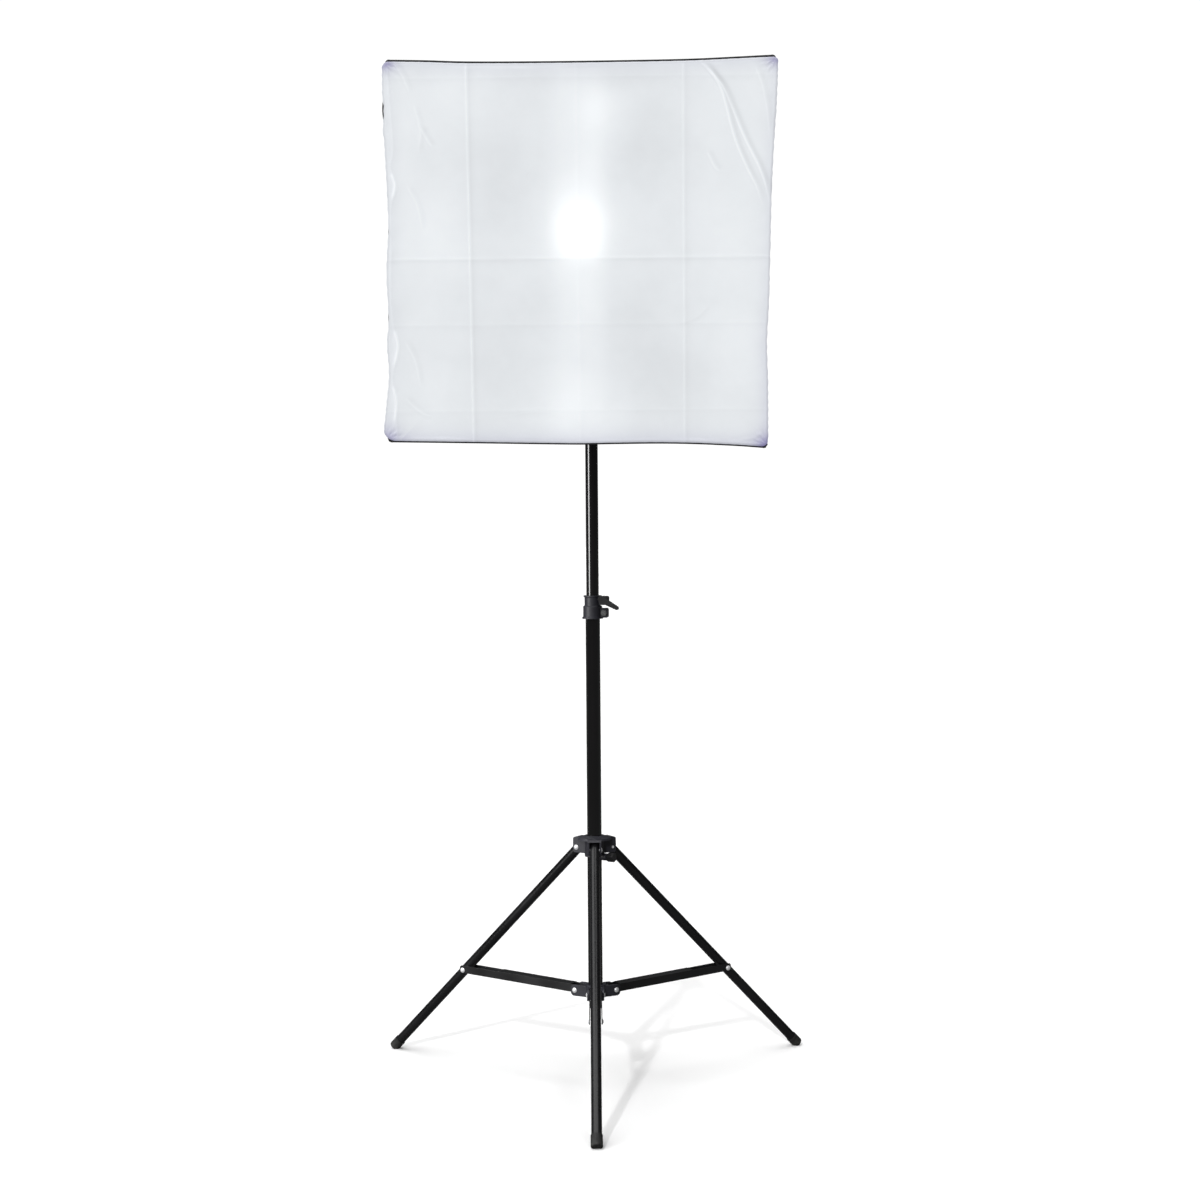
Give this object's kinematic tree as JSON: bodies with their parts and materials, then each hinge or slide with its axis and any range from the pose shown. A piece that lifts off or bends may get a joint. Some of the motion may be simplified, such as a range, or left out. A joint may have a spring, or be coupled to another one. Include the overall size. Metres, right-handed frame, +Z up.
{
  "type": "studio softbox on light stand",
  "caption": "Square fabric softbox on spring rods and a lamp holder, tilting on a telescopic folding light stand.",
  "frame": {"origin": "middle of the bounding box's base, on the floor", "axes": "+Z up, the diffuser faces -Y, +X to the right of someone facing the diffuser"},
  "size_m": [0.6644, 0.6792, 1.4628],
  "materials": {
    "tube_paint": "glossy black paint",
    "leg_paint": "satin black paint",
    "brace_paint": "satin black paint on pressed steel",
    "rivet_steel": "zinc-plated",
    "bolt_steel": "zinc-plated",
    "moulded_plastic": "matte, moulded",
    "knob_plastic": "matte, moulded",
    "bush_plastic": "smooth nylon",
    "foot_rubber": "matte",
    "spigot_nickel": "nickel-plated",
    "holder_plastic": "matte, fine texture",
    "socket_ceramic": "glazed ceramic",
    "socket_brass": "plain",
    "lamp_cap_metal": "rolled thread",
    "lamp_white": "white, smooth",
    "lamp_opal": "opal",
    "rod_steel": "black-coated spring steel",
    "rod_tip_plastic": "moulded",
    "shell_cloth": "black coated nylon, silver inside",
    "rim_cloth": "black woven binding",
    "diffuser_cloth": "white translucent nylon"
  },
  "bodies": {
    "root": {"lower_tube": "tube_paint", "spreader_hub": "moulded_plastic", "hub_rivets": "rivet_steel", "lower_clamp_body": "moulded_plastic", "lower_clamp_bolt": "bolt_steel", "lower_clamp_nut": "bolt_steel"},
    "collar": {"leg_collar": "moulded_plastic", "collar_rivets": "rivet_steel"},
    "collar_lock": {"collar_screw": "bolt_steel", "collar_knob": "knob_plastic"},
    "middle_mast": {"middle_tube": "tube_paint", "middle_tube_bush": "bush_plastic", "upper_clamp_body": "moulded_plastic", "upper_clamp_bolt": "bolt_steel", "upper_clamp_nut": "bolt_steel"},
    "top_mast": {"top_tube": "tube_paint", "top_tube_bush": "bush_plastic", "spigot": "spigot_nickel"},
    "lower_lever": {"lower_clamp_screw": "bolt_steel", "lower_clamp_lever": "knob_plastic"},
    "upper_lever": {"upper_clamp_screw": "bolt_steel", "upper_clamp_lever": "knob_plastic"},
    "swivel": {"stand_adapter": "moulded_plastic", "tilt_bolt": "bolt_steel"},
    "thumb_screw": {"adapter_thumb_screw": "knob_plastic"},
    "tilt_lock": {"tilt_knob": "knob_plastic"},
    "leg_front": {"leg_front": "leg_paint", "foot_front": "foot_rubber"},
    "brace_front": {"brace_front": "brace_paint", "brace_rivets_front": "rivet_steel"},
    "leg_right": {"leg_right": "leg_paint", "foot_right": "foot_rubber"},
    "brace_right": {"brace_right": "brace_paint", "brace_rivets_right": "rivet_steel"},
    "leg_left": {"leg_left": "leg_paint", "foot_left": "foot_rubber"},
    "brace_left": {"brace_left": "brace_paint", "brace_rivets_left": "rivet_steel"},
    "head": {"tilt_bracket": "moulded_plastic", "lamp_rear_shell": "holder_plastic", "lamp_front_shell": "holder_plastic", "cable_gland": "holder_plastic", "lamp_socket": "socket_ceramic", "socket_thread": "socket_brass", "socket_contact": "socket_brass", "lamp_cap": "lamp_cap_metal", "lamp_body": "lamp_white", "lamp_dome": "lamp_opal", "rod_holder": "holder_plastic", "spring_rods": "rod_steel", "rod_tips": "rod_tip_plastic", "rear_sleeve": "shell_cloth", "rim_piping": "rim_cloth", "front_diffuser": "diffuser_cloth", "hook_loop_tape": "rim_cloth", "corner_pockets": "shell_cloth", "panel_top": "shell_cloth", "panel_left": "shell_cloth", "panel_bottom": "shell_cloth", "panel_right": "shell_cloth"}
  },
  "joints": [
    {"name": "collar_slide", "type": "slide", "parent": "root", "child": "collar", "axis": [0, 0, 1], "range_m": [0, 0.28428]},
    {"name": "leg_front_fold", "type": "hinge", "parent": "collar", "child": "leg_front", "pos_m": [0, 0.11724, 0.3546], "axis": [1, 0, 0], "range_deg": [0, 41.92]},
    {"name": "brace_front_fold", "type": "hinge", "parent": "root", "child": "brace_front", "pos_m": [0, 0.11384, 0.1337], "axis": [-1, 0, 0], "range_deg": [0, 84.09]},
    {"name": "leg_right_fold", "type": "hinge", "parent": "collar", "child": "leg_right", "pos_m": [0.02304, 0.15714, 0.3546], "axis": [-0.5, 0.866, 0], "range_deg": [0, 41.92]},
    {"name": "brace_right_fold", "type": "hinge", "parent": "root", "child": "brace_right", "pos_m": [0.02598, 0.15884, 0.1337], "axis": [0.5, -0.866, 0], "range_deg": [0, 84.09]},
    {"name": "leg_left_fold", "type": "hinge", "parent": "collar", "child": "leg_left", "pos_m": [-0.02304, 0.15714, 0.3546], "axis": [-0.5, -0.866, 0], "range_deg": [0, 41.92]},
    {"name": "brace_left_fold", "type": "hinge", "parent": "root", "child": "brace_left", "pos_m": [-0.02598, 0.15884, 0.1337], "axis": [0.5, 0.866, 0], "range_deg": [0, 84.09]},
    {"name": "collar_knob_turn", "type": "hinge", "parent": "collar", "child": "collar_lock", "pos_m": [0.02338, 0.13034, 0.3416], "axis": [0.866, -0.5, 0], "range_deg": [0, 270]},
    {"name": "middle_slide", "type": "slide", "parent": "root", "child": "middle_mast", "axis": [0, 0, 1], "range_m": [-0.355, 0.115]},
    {"name": "top_slide", "type": "slide", "parent": "middle_mast", "child": "top_mast", "axis": [0, 0, 1], "range_m": [-0.04, 0.45]},
    {"name": "lower_lever_turn", "type": "hinge", "parent": "root", "child": "lower_lever", "pos_m": [0.01643, 0.12638, 0.7336], "axis": [0.1392, 0.9903, 0], "range_deg": [-90, 90]},
    {"name": "upper_lever_turn", "type": "hinge", "parent": "middle_mast", "child": "upper_lever", "pos_m": [0.01494, 0.12659, 1.1286], "axis": [0.1392, 0.9903, 0], "range_deg": [-90, 90]},
    {"name": "head_swivel", "type": "hinge", "parent": "top_mast", "child": "swivel", "pos_m": [0, 0.14384, 1.191], "axis": [0, 0, 1], "range_deg": [-180, 180]},
    {"name": "thumb_screw_turn", "type": "hinge", "parent": "swivel", "child": "thumb_screw", "pos_m": [-0.01999, 0.14443, 1.192], "axis": [0.9996, -0.0297, 0], "range_deg": [0, 360]},
    {"name": "tilt_knob_turn", "type": "hinge", "parent": "swivel", "child": "tilt_lock", "pos_m": [0.01399, 0.14342, 1.229], "axis": [0.9996, -0.0297, 0], "range_deg": [-270, 0]},
    {"name": "head_tilt", "type": "hinge", "parent": "swivel", "child": "head", "pos_m": [0, 0.14384, 1.229], "axis": [0.9996, -0.0297, 0], "range_deg": [-78, 44]}
  ],
  "couplings": [
    {"joint": "leg_front_fold", "follows": "collar_slide", "rad_per_m": 2.5705},
    {"joint": "brace_front_fold", "follows": "collar_slide", "rad_per_m": 5.16},
    {"joint": "leg_right_fold", "follows": "collar_slide", "rad_per_m": 2.5705},
    {"joint": "brace_right_fold", "follows": "collar_slide", "rad_per_m": 5.16},
    {"joint": "leg_left_fold", "follows": "collar_slide", "rad_per_m": 2.5705},
    {"joint": "brace_left_fold", "follows": "collar_slide", "rad_per_m": 5.16}
  ]
}
